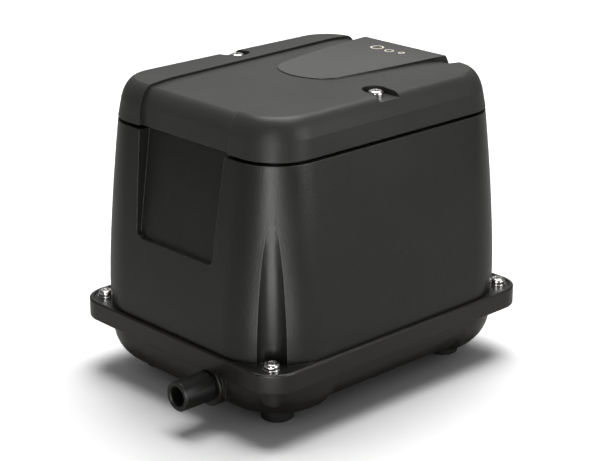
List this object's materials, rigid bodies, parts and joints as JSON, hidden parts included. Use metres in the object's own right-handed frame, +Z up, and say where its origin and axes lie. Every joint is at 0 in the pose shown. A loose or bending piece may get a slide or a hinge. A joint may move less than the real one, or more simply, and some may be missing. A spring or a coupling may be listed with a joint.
{
  "type": "linear diaphragm air pump",
  "caption": "Pond air pump: leaning rounded casing with a screwed lid and filter, on a flanged air tank with rubber feet and a hose outlet; linear diaphragm motor inside.",
  "frame": {"origin": "on the floor, under the middle of the casing and of the whole part's outline", "axes": "+Z up; -Y is the end with the hose outlet; +Y the end with the mains cable; X across the casing"},
  "size_m": [0.1778, 0.2606, 0.1863],
  "materials": {
    "lid_plastic": "satin, fine moulded grain",
    "case_plastic": "satin, fine moulded grain",
    "inner_plastic": "semi-matt black",
    "tank_metal": "satin black powder coat",
    "raw_aluminium": "as cast",
    "bright_steel": "polished stainless",
    "lamination_steel": "dull grey",
    "coil_winding": "enamelled copper",
    "bobbin_plastic": "natural nylon",
    "black_rubber": "matt",
    "valve_rubber": "smooth",
    "cable_rubber": "matt",
    "wire_insulation": "semi-gloss",
    "filter_foam": "open-cell foam"
  },
  "bodies": {
    "base": {"filter_tray": "inner_plastic", "housing": "case_plastic", "housing_gasket": "black_rubber", "base_screws": "bright_steel", "base_washers": "bright_steel", "tank": "tank_metal", "tank_gasket": "black_rubber", "tank_cover": "raw_aluminium", "cover_screws": "bright_steel", "rubber_feet": "black_rubber", "foot_screws": "bright_steel", "outlet_nozzle": "inner_plastic", "outlet_o_ring": "black_rubber", "isolators": "black_rubber", "isolator_screws": "bright_steel", "motor_frame": "raw_aluminium", "stator_cores": "lamination_steel", "core_screws": "bright_steel", "bobbins": "bobbin_plastic", "coils": "coil_winding", "thermal_cutout": "inner_plastic", "front_diaphragm": "black_rubber", "rear_diaphragm": "black_rubber", "front_pump_head": "raw_aluminium", "rear_pump_head": "raw_aluminium", "front_head_cover": "raw_aluminium", "rear_head_cover": "raw_aluminium", "head_screws": "bright_steel", "hoses": "black_rubber", "hose_clamps": "bright_steel", "cable_gland": "inner_plastic", "gland_nut": "inner_plastic", "power_cable": "cable_rubber", "terminal_block": "bobbin_plastic", "wiring": "wire_insulation"},
    "lid": {"lid": "lid_plastic", "lid_screws": "bright_steel"},
    "filter": {"air_filter": "filter_foam"},
    "armature": {"armature": "raw_aluminium", "armature_magnets": "lamination_steel", "diaphragm_discs": "raw_aluminium", "armature_nuts": "bright_steel"},
    "front_intake_flap": {"front_intake_flap": "valve_rubber"},
    "rear_intake_flap": {"rear_intake_flap": "valve_rubber"},
    "front_exhaust_flap": {"front_exhaust_flap": "valve_rubber"},
    "rear_exhaust_flap": {"rear_exhaust_flap": "valve_rubber"}
  },
  "joints": [
    {"name": "lid_lift", "type": "slide", "parent": "base", "child": "lid", "axis": [0, 0, 1], "range_m": [0, 0.12]},
    {"name": "filter_lift", "type": "slide", "parent": "base", "child": "filter", "axis": [0, 0, 1], "range_m": [0, 0.048]},
    {"name": "armature_slide", "type": "slide", "parent": "base", "child": "armature", "axis": [0, 1, 0], "range_m": [-0.0025, 0.0025], "deforming": ["front_diaphragm", "rear_diaphragm"]},
    {"name": "front_intake_flap_hinge", "type": "hinge", "parent": "base", "child": "front_intake_flap", "pos_m": [-0.011, -0.05195, 0.0969], "axis": [0, 0, -1], "range_deg": [0, 12]},
    {"name": "rear_intake_flap_hinge", "type": "hinge", "parent": "base", "child": "rear_intake_flap", "pos_m": [0.011, 0.05195, 0.0969], "axis": [0, 0, -1], "range_deg": [0, 12]},
    {"name": "front_exhaust_flap_hinge", "type": "hinge", "parent": "base", "child": "front_exhaust_flap", "pos_m": [0.011, -0.05605, 0.0969], "axis": [0, 0, -1], "range_deg": [0, 12]},
    {"name": "rear_exhaust_flap_hinge", "type": "hinge", "parent": "base", "child": "rear_exhaust_flap", "pos_m": [-0.011, 0.05605, 0.0969], "axis": [0, 0, -1], "range_deg": [0, 12]}
  ],
  "couplings": [
    {"joint": "filter_lift", "follows": "lid_lift", "ratio": 0.4}
  ]
}
